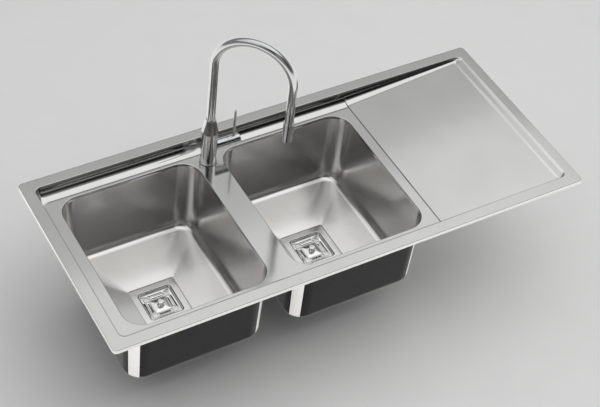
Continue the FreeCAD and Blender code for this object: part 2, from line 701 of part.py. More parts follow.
nodes.append(tap_body)

tap_shank = new_body("tap_shank", *TAP_PLACE)
spigot = "(spigot_radius - fit_play)"
revolve(tap_shank, (
    ("0", "-shank_length"), ("shank_radius", "-shank_length"), ("shank_radius", FOOT_TOP),
    (spigot, FOOT_TOP), (spigot, spigot_top), ("0", spigot_top)))
inlets = new_sketch(tap_shank, "XY_Plane", "-shank_length")
circle(inlets, "inlet_radius", x="inlet_place")
circle(inlets, "inlet_radius", x="-inlet_place")
extrude("Pocket", tap_shank, inlets, "inlet_depth", reverse=True)
nodes.append(tap_shank)

washer_bore = "shank_radius + fit_play"
rubber_low = "(-sheet - clamp_rubber)"
plate_low = "(%s - clamp_plate)" % rubber_low
nodes.append(turned("clamp_rubber", tube(washer_bore, "clamp_radius", rubber_low, "-sheet"), *TAP_PLACE))
nodes.append(turned("clamp_plate", tube(washer_bore, "clamp_radius", plate_low, rubber_low), *TAP_PLACE))

clamp_nut = new_body("clamp_nut", *TAP_PLACE)
hexagon = new_sketch(clamp_nut, "XY_Plane", plate_low)
HEX_SHARES = [(math.cos(math.radians(a)), math.sin(math.radians(a))) for a in range(0, 360, 60)]
nut_reach = "clamp_nut_flats / %.6f" % math.sqrt(3)
polygon(hexagon, [("%.6f * %s" % (cx, nut_reach), "%.6f * %s" % (cy, nut_reach))
                  for cx, cy in HEX_SHARES])
circle(hexagon, washer_bore)
extrude("Pad", clamp_nut, hexagon, "clamp_nut", reverse=True)
nodes.append(clamp_nut)

# Lever and cartridge, turned round their own axis and laid along X.

LEVER_PLACE = (TAP_X, TAP_Y, "%s + hub_level" % DECK_LEVEL)
ALONG_X = ((0, 1, 0), 90)
nut_start = "(boss_end - cartridge_nut)"
spindle_bore = "(spindle_radius + fit_play)"

nodes.append(turned("cartridge", (
    ("spindle_radius + fit_play", "cartridge_start"), ("cartridge_radius", "cartridge_start"),
    ("cartridge_radius", nut_start), (spindle_bore, nut_start)), *LEVER_PLACE, turn=ALONG_X))
nodes.append(turned("cartridge_nut", tube(spindle_bore, "cartridge_radius", nut_start, "boss_end"),
                    *LEVER_PLACE, turn=ALONG_X))

hub_start = "(boss_end + seam)"
spindle_end = "(%s + spindle_depth)" % hub_start
nodes.append(turned("cartridge_spindle", (
    ("0", "cartridge_start + overrun"), ("spindle_radius", "cartridge_start + overrun"),
    ("spindle_radius", spindle_end), ("0", spindle_end)), *LEVER_PLACE, turn=ALONG_X))

lever_hub = new_body("lever_hub", *LEVER_PLACE, turn=ALONG_X)
revolve(lever_hub, (
    (spindle_bore, hub_start), ("hub_radius", hub_start), ("hub_radius", "hub_end - hub_chamfer"),
    ("hub_radius - hub_chamfer", "hub_end"), ("0", "hub_end"), ("0", spindle_end),
    (spindle_bore, spindle_end)))
pin_hole = new_sketch(lever_hub, "YZ_Plane")
circle(pin_hole, "pin_radius + fit_play", y="pin_place")
pin_pocket = extrude("Pocket", lever_hub, pin_hole, "hub_radius + overrun")
grub_hole = new_sketch(lever_hub, "YZ_Plane")
circle(grub_hole, "grub_radius + fit_play", y="grub_place")
extrude("Pocket", lever_hub, grub_hole, "hub_radius + overrun", reverse=True)
nodes.append(lever_hub)

pin_low = "(hub_radius - pin_socket)"
nodes.append(turned("lever_pin", (
    ("0", pin_low), ("pin_radius", pin_low), ("pin_radius", "pin_top - hub_chamfer"),
    ("pin_radius - hub_chamfer", "pin_top"), ("0", "pin_top")),
    "%s + pin_place" % TAP_X, TAP_Y, LEVER_PLACE[2]))
nodes.append(turned("lever_grub_screw", (
    ("0", "-hub_radius + hub_chamfer"), ("grub_radius", "-hub_radius + hub_chamfer"),
    ("grub_radius", "-" + spindle_bore), ("0", "-" + spindle_bore)),
    "%s + grub_place" % TAP_X, TAP_Y, LEVER_PLACE[2]))

# Spout: the tube is one pipe along an upright, a half circle and a short drop, and
# the pieces at its end stand on the drop's axis, swung to the front with it.

CONE_FOOT = "(body_top + seam)"
TUBE_FOOT = "(body_top - tube_tail)"
spout_bore = "tube_radius + fit_play"

nodes.append(turned("neck_cone", (
    ("tube_radius", CONE_FOOT), ("body_radius", CONE_FOOT),
    ("cone_top_radius", "%s + cone_height" % CONE_FOOT),
    ("tube_radius", "%s + cone_height" % CONE_FOOT)), *TAP_PLACE))

bush_low = "(body_top - bush_height)"
nodes.append(turned("spout_bush", tube(spout_bore, "socket_radius - fit_play", bush_low, "body_top"),
                    *TAP_PLACE))

spout = new_body("spout", *TAP_PLACE)
spout.Placement.Rotation = FreeCAD.Rotation(FreeCAD.Vector(0, 0, -1), size("spout_turn"))
bind(spout, "Placement.Rotation.Angle", "spout_turn * 1 deg")
drop_foot = "(outlet_level + sleeve_length - sleeve_hold)"
path = new_sketch(spout, "XZ_Plane")
foot = FreeCAD.Vector(0, size(TUBE_FOOT), 0)
bend = FreeCAD.Vector(0, size("bend_start"), 0)
bend_middle = FreeCAD.Vector(size("bend_radius"), size("bend_start"), 0)
bend_end = FreeCAD.Vector(size("2 * bend_radius"), size("bend_start"), 0)
drop_end = FreeCAD.Vector(size("2 * bend_radius"), size(drop_foot), 0)
path.addGeometry(Part.LineSegment(foot, bend))
bow = Part.Circle(bend_middle, FreeCAD.Vector(0, 0, 1), size("bend_radius"))
path.addGeometry(Part.ArcOfCircle(bow, 0, math.pi))
path.addGeometry(Part.LineSegment(bend_end, drop_end))
path.addConstraint(Sketcher.Constraint("Tangent", 0, 2, 1, 2))
path.addConstraint(Sketcher.Constraint("Tangent", 1, 1, 2, 1))
dimension(path, "DistanceX", 0, 1, "0")
dimension(path, "DistanceY", 0, 1, TUBE_FOOT)
dimension(path, "DistanceX", 1, 3, "bend_radius")
dimension(path, "DistanceY", 1, 3, "bend_start")
dimension(path, "DistanceX", 0, 2, "0")
dimension(path, "DistanceX", 2, 2, "2 * bend_radius")
dimension(path, "DistanceY", 2, 2, drop_foot)
section = new_sketch(spout, "XY_Plane", TUBE_FOOT)
circle(section, "tube_radius")
circle(section, "tube_radius - tube_wall")
doc.recompute()
pipe = spout.newObject("PartDesign::AdditivePipe", "spout_pipe")
pipe.Profile = section
pipe.Spine = (path, ["Edge1", "Edge2", "Edge3"])
doc.recompute()
nodes.append(spout)

ring_middle = "((tube_radius + socket_radius) / 2)"
rings = []
for step in (1, 2):
    ring = doc.addObject("Part::Torus", "spout_ring")
    bind(ring, "Radius1", ring_middle)
    bind(ring, "Radius2", "ring_radius")
    bind(ring, "Placement.Base.x", TAP_X)
    bind(ring, "Placement.Base.y", TAP_Y)
    bind(ring, "Placement.Base.z", "%s + %s - %d * ring_step" % (DECK_LEVEL, bush_low, step))
    rings.append(ring)
nodes.append(group("spout_o_rings", rings))

OUTLET_PLACE = ("%s + 2 * bend_radius * cos(spout_turn * 1 deg)" % TAP_X,
                "%s - 2 * bend_radius * sin(spout_turn * 1 deg)" % TAP_Y,
                "%s + outlet_level" % DECK_LEVEL)
aerator_radius = "(tube_radius - fit_play)"
groove_radius = "(sleeve_radius - seam)"
nodes.append(turned("outlet_sleeve", (
    ("tube_radius", "0"), (groove_radius, "0"), ("sleeve_radius", "seam"),
    ("sleeve_radius", "sleeve_groove - seam"), (groove_radius, "sleeve_groove"),
    ("sleeve_radius", "sleeve_groove + seam"), ("sleeve_radius", "sleeve_length - seam"),
    (groove_radius, "sleeve_length"), ("tube_radius", "sleeve_length")), *OUTLET_PLACE))

aerator = new_body("aerator", *OUTLET_PLACE)
insert = new_sketch(aerator, "XY_Plane", "aerator_inset")
circle(insert, aerator_radius)
extrude("Pad", aerator, insert, "aerator_height")
jets = new_sketch(aerator, "XY_Plane", "aerator_inset")
circle(jets, "jet_radius", x="jet_step")
circle(jets, "jet_radius", x="2 * jet_step")
jet_holes = extrude("Pocket", aerator, jets, "aerator_height", reverse=True)
polar(aerator, jet_holes, "outlet_count")
nodes.append(aerator)

# Check every feature and write one file for each piece.

doc.recompute()
for item in doc.Objects:
    if {"Invalid", "Error"} & set(item.State):
        raise RuntimeError("%s did not build: %s" % (item.Label, item.State))

os.makedirs("parts", exist_ok=True)
for node in nodes:
    shape = node.Shape
    if shape.isNull() or not shape.isValid() or not shape.Solids:
        raise RuntimeError("%s has no sound solid" % node.Label)
    shape.exportStep("parts/%s.step" % node.Label)
    print("%-24s %2d solid %12.1f mm3" % (node.Label, len(shape.Solids), shape.Volume))
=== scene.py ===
import math

import bmesh
import bpy
from mathutils import Matrix, Vector


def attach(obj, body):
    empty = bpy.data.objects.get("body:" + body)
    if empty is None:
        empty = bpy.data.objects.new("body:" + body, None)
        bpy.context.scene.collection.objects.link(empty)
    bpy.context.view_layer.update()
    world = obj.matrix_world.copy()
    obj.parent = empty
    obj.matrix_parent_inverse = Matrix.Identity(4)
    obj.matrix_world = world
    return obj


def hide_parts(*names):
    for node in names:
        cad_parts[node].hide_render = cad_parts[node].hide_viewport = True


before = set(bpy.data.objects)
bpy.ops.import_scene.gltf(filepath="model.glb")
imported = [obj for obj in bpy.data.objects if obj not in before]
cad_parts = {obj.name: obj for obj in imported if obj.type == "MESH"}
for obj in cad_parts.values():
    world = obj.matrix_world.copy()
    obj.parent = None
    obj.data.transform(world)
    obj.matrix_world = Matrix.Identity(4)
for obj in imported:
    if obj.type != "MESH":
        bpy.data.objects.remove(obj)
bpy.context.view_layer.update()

# ---------------------------------------------------------------------------
# Deck: one sheet of satin stainless steel, pressed with a turned-down lip, a
# dropped centre, a drainer that slopes to the bowls and a collar round each bowl
# opening. It lies on the worktop on its lip.

MM = 0.001
HALF_LENGTH = 580 * MM
HALF_DEPTH = 250 * MM
SHEET = 1 * MM
DECK_LEVEL = -20 * MM
FOLD = 226 * MM
FOLD_TOP = 227.5 * MM
FOLD_RISE = 2.5 * MM
DRAINER_END = 555 * MM
BOWL_X = {"left": -351.5 * MM, "right": 38.5 * MM}
OPENING_X = 165 * MM
OPENING_Y = 192.5 * MM
OPENING_CORNER = 46 * MM
OPENING_STEPS = 16
WELD_LEVEL = -28 * MM
TAP = Vector((-156.5, 175, -20)) * MM
TAP_HOLE = 17.5 * MM


def round_corner(before, corner, after, radius, steps):
    """Points along the arc that rounds a corner off."""
    corner = Vector(corner)
    back = (Vector(before) - corner).normalized()
    ahead = (Vector(after) - corner).normalized()
    half = back.angle(ahead) / 2
    sweep = math.pi - 2 * half
    middle = corner + (back + ahead).normalized() * radius / math.sin(half)
    start = corner + back * radius / math.tan(half) - middle
    end = corner + ahead * radius / math.tan(half) - middle
    points = []
    for i in range(steps + 1):
        share = i / steps
        arm = start * math.sin((1 - share) * sweep) + end * math.sin(share * sweep)
        points.append(middle + arm / math.sin(sweep))
    return points


def circle(radius, steps):
    """Points of a circle, anticlockwise."""
    angles = [2 * math.pi * i / steps for i in range(steps)]
    return [(radius * math.cos(angle), radius * math.sin(angle)) for angle in angles]


def outline(half_x, half_y, corner, steps, stops=()):
    """A rectangle with round corners, anticlockwise, with stops on its long sides."""
    points = []
    for quarter, (sx, sy) in enumerate(((1, 1), (-1, 1), (-1, -1), (1, -1))):
        cx = sx * (half_x - corner)
        cy = sy * (half_y - corner)
        for i in range(steps + 1):
            angle = (quarter + i / steps) * math.pi / 2
            points.append((cx + corner * math.cos(angle), cy + corner * math.sin(angle)))
        if quarter == 0:
            points.extend((x, half_y) for x in reversed(stops))
        if quarter == 2:
            points.extend((x, -half_y) for x in stops)
    return points


def ring(mesh, points, level, x=0.0, y=0.0):
    """Put a closed row of points into a mesh at one level, moved by x and y."""
    return [mesh.verts.new((px + x, py + y, level)) for px, py in points]


def bridge(mesh, outer, inner):
    """Join two rings of the same count with quads."""
    count = len(outer)
    for i in range(count):
        j = (i + 1) % count
        mesh.faces.new((outer[i], outer[j], inner[j], inner[i]))


def bridge_all(mesh, rings):
    """Join each ring to the next."""
    for outer, inner in zip(rings, rings[1:]):
        bridge(mesh, outer, inner)


def fill(mesh, rings):
    """Close the flat area between an outer ring and the rings of its holes."""
    edges = []
    for verts in rings:
        for a, b in zip(verts, verts[1:] + verts[:1]):
            edges.append(mesh.edges.get((a, b)) or mesh.edges.new((a, b)))
    made = bmesh.ops.triangle_fill(mesh, use_beauty=True, edges=edges)
    for item in made["geom"]:
        if isinstance(item, bmesh.types.BMFace):
            item.normal_update()
            if item.normal.z < 0:
                item.normal_flip()


def add_piece(name, mesh, body, node, finish, *surfaces, sheet=0.0, back=0, crease=35):
    """Turn a built mesh into a piece that stands for a CAD node."""
    bmesh.ops.remove_doubles(mesh, verts=mesh.verts, dist=1e-7)
    data = bpy.data.meshes.new(name)
    mesh.to_mesh(data)
    mesh.free()
    data.shade_smooth()
    data.set_sharp_from_angle(angle=math.radians(crease))
    for coat in surfaces:
        data.materials.append(coat)
    piece = bpy.data.objects.new(name, data)
    bpy.context.scene.collection.objects.link(piece)
    if sheet:
        skin = piece.modifiers.new("sheet", "SOLIDIFY")
        skin.thickness = sheet
        skin.offset = -1
        skin.use_even_offset = True
        skin.material_offset = back
    soft = piece.modifiers.new("shading", "WEIGHTED_NORMAL")
    soft.mode = "FACE_AREA"
    soft.weight = 100
    soft.keep_sharp = True
    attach(piece, body)
    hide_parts(node)
    return piece


# Most of a noise lies between these two values.
NOISE_LOW = 0.3
NOISE_HIGH = 0.7
CLOUD_SCALE = 9.0
RELIEF_DEPTH = 0.2 * MM


def surface(name, metal, tones, rough, grain, bump, stretch=(1, 1, 1), detail=4.0, shine=0.5):
    """A finish with its own grain in colour, gloss and relief."""
    made = bpy.data.materials.new(name)
    made.use_nodes = True
    nodes = made.node_tree.nodes
    links = made.node_tree.links
    shader = nodes["Principled BSDF"]
    shader.inputs["Metallic"].default_value = metal
    shader.inputs["Specular IOR Level"].default_value = shine
    where = nodes.new("ShaderNodeTexCoord")
    lay = nodes.new("ShaderNodeMapping")
    lay.inputs["Scale"].default_value = stretch
    links.new(where.outputs["Object"], lay.inputs["Vector"])
    grains = nodes.new("ShaderNodeTexNoise")
    grains.inputs["Scale"].default_value = grain
    grains.inputs["Detail"].default_value = detail
    links.new(lay.outputs["Vector"], grains.inputs["Vector"])
    clouds = nodes.new("ShaderNodeTexNoise")
    clouds.inputs["Scale"].default_value = CLOUD_SCALE
    clouds.inputs["Detail"].default_value = 2.0
    links.new(where.outputs["Object"], clouds.inputs["Vector"])
    colour = nodes.new("ShaderNodeValToRGB")
    for mark, place, tone in zip(colour.color_ramp.elements, (NOISE_LOW, NOISE_HIGH), tones):
        mark.position = place
        mark.color = (*tone, 1)
    links.new(clouds.outputs["Fac"], colour.inputs["Fac"])
    links.new(colour.outputs["Color"], shader.inputs["Base Color"])
    gloss = nodes.new("ShaderNodeMapRange")
    gloss.inputs["From Min"].default_value = NOISE_LOW
    gloss.inputs["From Max"].default_value = NOISE_HIGH
    gloss.inputs["To Min"].default_value = rough[0]
    gloss.inputs["To Max"].default_value = rough[1]
    links.new(grains.outputs["Fac"], gloss.inputs["Value"])
    links.new(gloss.outputs["Result"], shader.inputs["Roughness"])
    relief = nodes.new("ShaderNodeBump")
    relief.inputs["Strength"].default_value = bump
    relief.inputs["Distance"].default_value = RELIEF_DEPTH
    links.new(grains.outputs["Fac"], relief.inputs["Height"])
    links.new(relief.outputs["Normal"], shader.inputs["Normal"])
    return made


satin_steel = surface("satin_steel", metal=1.0, tones=((0.615, 0.61, 0.60), (0.645, 0.64, 0.63)),
                      rough=(0.11, 0.13), grain=2600, bump=0.002, stretch=(0.03, 1, 1))


def drainer_height(x):
    """Level of the pressed floor along the deck: flat, a small riser, then the slope."""
    if x <= FOLD:
        return DECK_LEVEL
    if x <= FOLD_TOP:
        return DECK_LEVEL + (x - FOLD) / (FOLD_TOP - FOLD) * FOLD_RISE
    riser_top = DECK_LEVEL + FOLD_RISE
    return riser_top - (x - FOLD_TOP) / (DRAINER_END - FOLD_TOP) * riser_top


def smooth(share):
    """A soft step from 0 to 1."""
    return share * share * (3 - 2 * share)


# Profile of the pressing in mm: in from the outer edge, and up from the worktop.
FLANGE = 27
FLANGE_TOP = 10
DROP = 30
LOW = FLANGE_TOP - DROP
PRESS_SOFT = 1.6
FOOT_SOFT = 23
OUTER_CORNER = 10
RECESS_CORNER = 15
CORNER_STEPS = 12
END_ZONE = 530 * MM
# The foot is half as wide at the left end. The drainer's right end is a soft S-curve.
LEFT_FOOT = 0.5
SOFT_END = 24
SOFT_END_RUN = 22
STOP_STEP = 6 * MM
LAST_STOP = 505 * MM
NEAR = 1e-6

deck = bmesh.new()
lip_arc = round_corner((0, 0), (0, FLANGE_TOP), (FLANGE, FLANGE_TOP), PRESS_SOFT, 8)
edge_arc = round_corner((0, FLANGE_TOP), (FLANGE, FLANGE_TOP), (FLANGE, LOW), PRESS_SOFT, 8)
foot_arc = round_corner((FLANGE, FLANGE_TOP), (FLANGE, LOW), (2 * FLANGE, LOW), FOOT_SOFT, 30)
stops = [FOLD, FOLD_TOP]
while stops[-1] < LAST_STOP:
    stops.append(stops[-1] + STOP_STEP)
rows = []
for inset, level in [(0, 0)] + [tuple(p) for p in lip_arc]:
    points = outline(HALF_LENGTH - inset * MM, HALF_DEPTH - inset * MM,
                     (OUTER_CORNER - inset) * MM, CORNER_STEPS, stops)
    rows.append(ring(deck, points, level * MM))
wall_arcs = edge_arc + foot_arc
last = len(wall_arcs) - 1
recess = outline(HALF_LENGTH - FLANGE * MM, HALF_DEPTH - FLANGE * MM,
                 RECESS_CORNER * MM, CORNER_STEPS, stops)
for step, (inset, level) in enumerate(wall_arcs):
    row = ring(deck, recess, 0)
    soft_x = HALF_LENGTH - (SOFT_END + SOFT_END_RUN * step / last) * MM
    soft_z = FLANGE_TOP * MM + (drainer_height(soft_x) - FLANGE_TOP * MM) * smooth(step / last)
    for i, vert in enumerate(row):
        scale = (FLANGE_TOP * MM - drainer_height(vert.co.x)) / (DROP * MM)
        move = (inset - FLANGE) * MM * scale
        vert.co.y -= move * math.copysign(1, vert.co.y)
        if vert.co.x > END_ZONE:
            vert.co.x -= move
        elif vert.co.x < -END_ZONE:
            vert.co.x += move * LEFT_FOOT
        vert.co.z = FLANGE_TOP * MM + (level - FLANGE_TOP) * MM * scale
        turn = min(i, len(row) - 1 - i) / CORNER_STEPS
        if turn < 1:
            at_end = math.cos(turn * math.pi / 2) ** 2
            vert.co.x += at_end * (soft_x - HALF_LENGTH + FLANGE * MM + move)
            vert.co.z += at_end * (soft_z - vert.co.z)
        if step == last:
            vert.co.z = drainer_height(vert.co.x)
    rows.append(row)
bridge_all(deck, rows)

# The flat part of the floor, with the bowl openings and the tap hole in it.
floor_edge = rows[-1]
flat = [v for v in floor_edge if v.co.x <= FOLD + NEAR]
back_fold = [v for v in flat if v.co.y > 0 and abs(v.co.x - FOLD) < NEAR][0]
start = flat.index(back_fold)
flat = flat[start:] + flat[:start]
holes = []
weld = WELD_LEVEL / MM
rim_arc = round_corner((10, LOW), (0, LOW), (0, weld), PRESS_SOFT, 8)
for middle in BOWL_X.values():
    rim_rows = []
    for outset, level in [tuple(p) for p in rim_arc] + [(0, weld)]:
        points = outline(OPENING_X + outset * MM, OPENING_Y + outset * MM,
                         OPENING_CORNER + outset * MM, OPENING_STEPS)
        rim_rows.append(ring(deck, points, level * MM, middle))
    bridge_all(deck, rim_rows)
    holes.append(rim_rows[0])
holes.append(ring(deck, circle(TAP_HOLE, 48), DECK_LEVEL, TAP.x, TAP.y))
fill(deck, [flat] + holes)

# The slope of the drainer, and the riser between it and the flat part.
slope = [v for v in floor_edge if v.co.x >= FOLD_TOP - NEAR]
front_top = [v for v in slope if v.co.y < 0 and abs(v.co.x - FOLD_TOP) < NEAR][0]
start = slope.index(front_top)
slope = slope[start:] + slope[:start]
deck.faces.new(slope)
front_fold = [v for v in flat if v.co.y < 0 and abs(v.co.x - FOLD) < NEAR][0]
deck.faces.new((front_fold, front_top, slope[-1], back_fold))
add_piece("deck_pressing", deck, "sink", "deck_panel", "satin_steel", satin_steel, sheet=SHEET)

# ---------------------------------------------------------------------------
# Bowls: deep-drawn satin stainless steel with leaning walls and a floor folded down to
# a square drain seat, welded to the deck's collars. A sound-deadening coat covers the
# outside, made dark as a painted dark reflection, apart from a band of bare steel down
# each corner that is a painted highlight.

WALL_LEAN = 5 * MM
PLAIN_WALL = 0.85
FLOOR_EDGE = -215 * MM
FLOOR_SOFT = 20 * MM
FLOOR_FALL = 11 * MM
SEAT_LEVEL = -229 * MM
SEAT_HALF = 56 * MM
SEAT_CORNER = 4 * MM
DRAIN_HALF = 44 * MM
DRAIN_CORNER = 10 * MM
# Bounds of the bare-steel band on each outer corner, a painted highlight: its turn in from each
# side of the corner, and its foot above the floor edge.
PAINTED_HIGHLIGHT_FROM = math.radians(28)
PAINTED_HIGHLIGHT_FOOT = FLOOR_EDGE + 5 * MM
bowl_steel = surface("bowl_steel", metal=1.0, tones=((0.73, 0.72, 0.705), (0.77, 0.76, 0.745)),
                     rough=(0.19, 0.22), grain=2600, bump=0.002, stretch=(1, 1, 0.03))
# A sound-deadening coat whose dark tone is painted: it stands in for the dark reflection of the
# room on the bowls' outside.
sound_coat_painted_dark = surface("sound_coat_painted_dark", metal=0.0,
                     tones=((0.012, 0.0125, 0.013), (0.018, 0.0185, 0.019)),
                     rough=(0.26, 0.34), grain=420, bump=0.10, shine=0.10)


def bowl_columns():
    """The points of each column down the bowl, from the weld to the drain seat."""
    weld_line = outline(OPENING_X, OPENING_Y, OPENING_CORNER, OPENING_STEPS)
    edge = outline(OPENING_X - WALL_LEAN, OPENING_Y - WALL_LEAN, OPENING_CORNER - WALL_LEAN,
                   OPENING_STEPS)
    seat = outline(SEAT_HALF, SEAT_HALF, SEAT_CORNER, OPENING_STEPS)
    columns = []
    for i, (top, low, drain) in enumerate(zip(weld_line, edge, seat)):
        quarter, part = divmod(i, OPENING_STEPS + 1)
        angle = (quarter + part / OPENING_STEPS) * math.pi / 2
        inward = Vector((-math.cos(angle), -math.sin(angle)))
        run = Vector(drain) - Vector(low)
        reach = run.dot(inward)
        heading = run / reach
        wall_top = (-WALL_LEAN, WELD_LEVEL - FLOOR_EDGE)
        floor_end = (reach, -FLOOR_FALL)
        column = [Vector((*top, WELD_LEVEL))]
        for share in (0.25, 0.5, 0.75):
            column.append(column[0].lerp(Vector((*low, FLOOR_EDGE)), share * PLAIN_WALL))
        for inset, lift in round_corner(wall_top, (0, 0), floor_end, FLOOR_SOFT, 14):
            if inset < 0:
                place = Vector(low) + (Vector(top) - Vector(low)) * inset / wall_top[0]
            else:
                place = Vector(low) + heading * inset
            column.append(Vector((*place, FLOOR_EDGE + lift)))
        column.append(Vector((*drain, FLOOR_EDGE - FLOOR_FALL)))
        columns.append(column)
    return columns


columns = bowl_columns()
for side, middle in BOWL_X.items():
    bowl = bmesh.new()
    rows = []
    for points in zip(*columns):
        rows.append([bowl.verts.new(point + Vector((middle, 0, 0))) for point in points])
    for half, corner in ((SEAT_HALF, SEAT_CORNER), (DRAIN_HALF, DRAIN_CORNER)):
        rows.append(ring(bowl, outline(half, half, corner, OPENING_STEPS), SEAT_LEVEL, middle))
    bridge_all(bowl, rows)
    # Corner faces above the foot go to slot 1, so their outside stays bare steel instead of the
    # coat: a painted highlight down each corner.
    for face in bowl.faces:
        spot = face.calc_center_median()
        turn = math.atan2(abs(spot.y) - OPENING_Y + OPENING_CORNER,
                          abs(spot.x - middle) - OPENING_X + OPENING_CORNER)
        if spot.z > PAINTED_HIGHLIGHT_FOOT and PAINTED_HIGHLIGHT_FROM < turn < math.pi / 2 - PAINTED_HIGHLIGHT_FROM:
            face.material_index = 1
    # Slots: steel inside, the painted-highlight corner band, the dark coat on the back, and bare
    # steel on the band's back.
    add_piece(side + "_bowl_pressing", bowl, "sink", side + "_bowl", "satin_steel",
              bowl_steel, bowl_steel, sound_coat_painted_dark, bowl_steel, sheet=SHEET, back=2, crease=30)

# ---------------------------------------------------------------------------
# Rim seal and clip lugs: a strip of black foam under the flange, and ten small
# steel lugs welded to the dropped centre for the worktop clips.

rubber = surface("rubber", metal=0.0, tones=((0.018, 0.018, 0.018), (0.034, 0.034, 0.034)),
                 rough=(0.6, 0.8), grain=700, bump=0.3)


def dress(node, coat):
    """Give a CAD piece its finish."""
    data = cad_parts[node].data
    data.materials.clear()
    data.materials.append(coat)


dress("rim_seal", rubber)
dress("clip_lugs", satin_steel)

# ---------------------------------------------------------------------------
# Wastes: a polished square plate and pan in each floor, drawn down by one screw on to
# a moulded waste body below, with a rubber gasket between.

polished_steel = surface("polished_steel", metal=1.0,
                         tones=((0.80, 0.795, 0.785), (0.86, 0.855, 0.845)),
                         rough=(0.09, 0.14), grain=700, bump=0.02)
white_plastic = surface("white_plastic", metal=0.0,
                        tones=((0.70, 0.70, 0.68), (0.78, 0.78, 0.76)),
                        rough=(0.38, 0.5), grain=300, bump=0.12)
# Profile of the plate in mm: out from its middle, and up from the drain seat.
PLATE_HALF = 55
PLATE_TOP = 2
PLATE_CORNER = 3.5
PLATE_SOFT = 0.8
MOUTH_HALF = 40.5
MOUTH_STRAIGHT = 33
PAN_DEPTH = 16.5
PAN_SOFT = 2.5
PAN_FLOOR = SEAT_LEVEL - PAN_DEPTH * MM
PLATE_SHEET = 1.5 * MM
OUTLET_RADIUS = 5 * MM
OUTLET_CIRCLE = 21 * MM

for side, middle in BOWL_X.items():
    plate = bmesh.new()
    top_edge = round_corner((PLATE_HALF, 0), (PLATE_HALF, PLATE_TOP), (MOUTH_HALF, PLATE_TOP),
                            PLATE_SOFT, 4)
    mouth = round_corner((PLATE_HALF, PLATE_TOP), (MOUTH_HALF, PLATE_TOP),
                         (MOUTH_HALF, -PAN_DEPTH), PLATE_SOFT, 4)
    pan_edge = round_corner((MOUTH_HALF, PLATE_TOP), (MOUTH_HALF, -PAN_DEPTH),
                            (0, -PAN_DEPTH), PAN_SOFT, 6)
    rows = []
    for half, level in [(PLATE_HALF, 0)] + [tuple(p) for p in top_edge + mouth + pan_edge]:
        if half > PLATE_HALF - 1:
            corner = PLATE_CORNER - (PLATE_HALF - half)
        else:
            corner = max(half - MOUTH_STRAIGHT, 2)
        points = outline(half * MM, half * MM, corner * MM, 10)
        rows.append(ring(plate, points, SEAT_LEVEL + level * MM, middle))
    bridge_all(plate, rows)
    holes = [ring(plate, circle(OUTLET_RADIUS, 20), PAN_FLOOR, middle + x, y)
             for x, y in circle(OUTLET_CIRCLE, 8)]
    fill(plate, [rows[-1]] + holes)
    add_piece(side + "_drain_plate", plate, "sink", side + "_waste_flange", "polished_steel",
              polished_steel, sheet=PLATE_SHEET)
    dress(side + "_waste_gasket", rubber)
    dress(side + "_waste_body", white_plastic)
    dress(side + "_waste_screw", polished_steel)

# ---------------------------------------------------------------------------
# Strainers: a pressed square tray of polished steel with a raised square frame and
# slots on each side, a turned knob riveted in its middle and a rubber seal under it.
# They lift out of the pans.

TRAY_TOP = SEAT_LEVEL + 1 * MM
TRAY_SHEET = 1.1 * MM
# Profile of the tray in mm: out from its middle, and up from its top or its floor.
TRAY_HALF = 39.3
TRAY_INSIDE = 38.1
TRAY_STRAIGHT = 32.8
TRAY_DEPTH = 7.8
TRAY_SKIRT = -4
LIP_SOFT = 0.59
TRAY_SOFT = 1.5
SLOT_WIDTH = 3
FRAME_HALF = 30.3
FRAME_TOP = 2
FRAME_SOFT = 0.9
FRAME_FOOT = -0.3
WINDOW_HALF = 18.8
WINDOW_NARROW = 3.25
WINDOW_CORNER = 1.2
WINDOW_PLACE = 24.55


def drain_slot(length, width, away, turn):
    """A slot with round ends, parallel to one side of the tray."""
    points = []
    for centre, first in ((1, -90), (-1, 90)):
        for k in range(9):
            angle = math.radians(first + k * 22.5)
            points.append((centre * (length - width) / 2 + width / 2 * math.cos(angle),
                           away + width / 2 * math.sin(angle)))
    spin = Matrix.Rotation(turn, 2)
    return [tuple(spin @ Vector(p)) for p in points]


def turned(profile, steps=96, closed=True):
    """Spin a profile of (radius, height) round Z, going up the outside first."""
    mesh = bmesh.new()
    rows = []
    for radius, height in profile:
        if radius < 1e-9:
            rows.append([mesh.verts.new((0, 0, height))] * steps)
        else:
            rows.append(ring(mesh, circle(radius, steps), height))
    pairs = list(zip(rows, rows[1:]))
    if closed:
        pairs.append((rows[-1], rows[0]))
    for low, high in pairs:
        for i in range(steps):
            j = (i + 1) % steps
            corners = list(dict.fromkeys((low[i], low[j], high[j], high[i])))
            if len(corners) > 2:
                mesh.faces.new(corners)
    return mesh


def rounded(points, steps=4):
    """A closed profile in mm whose corners are rounded by each point's third number."""
    profile = []
    count = len(points)
    for i, (radius, height, soft) in enumerate(points):
        before = points[i - 1][:2]
        after = points[(i + 1) % count][:2]
        if soft:
            profile.extend(round_corner(before, (radius, height), after, soft, steps))
        else:
            profile.append(Vector((radius, height)))
    return [(p[0] * MM, p[1] * MM) for p in profile]


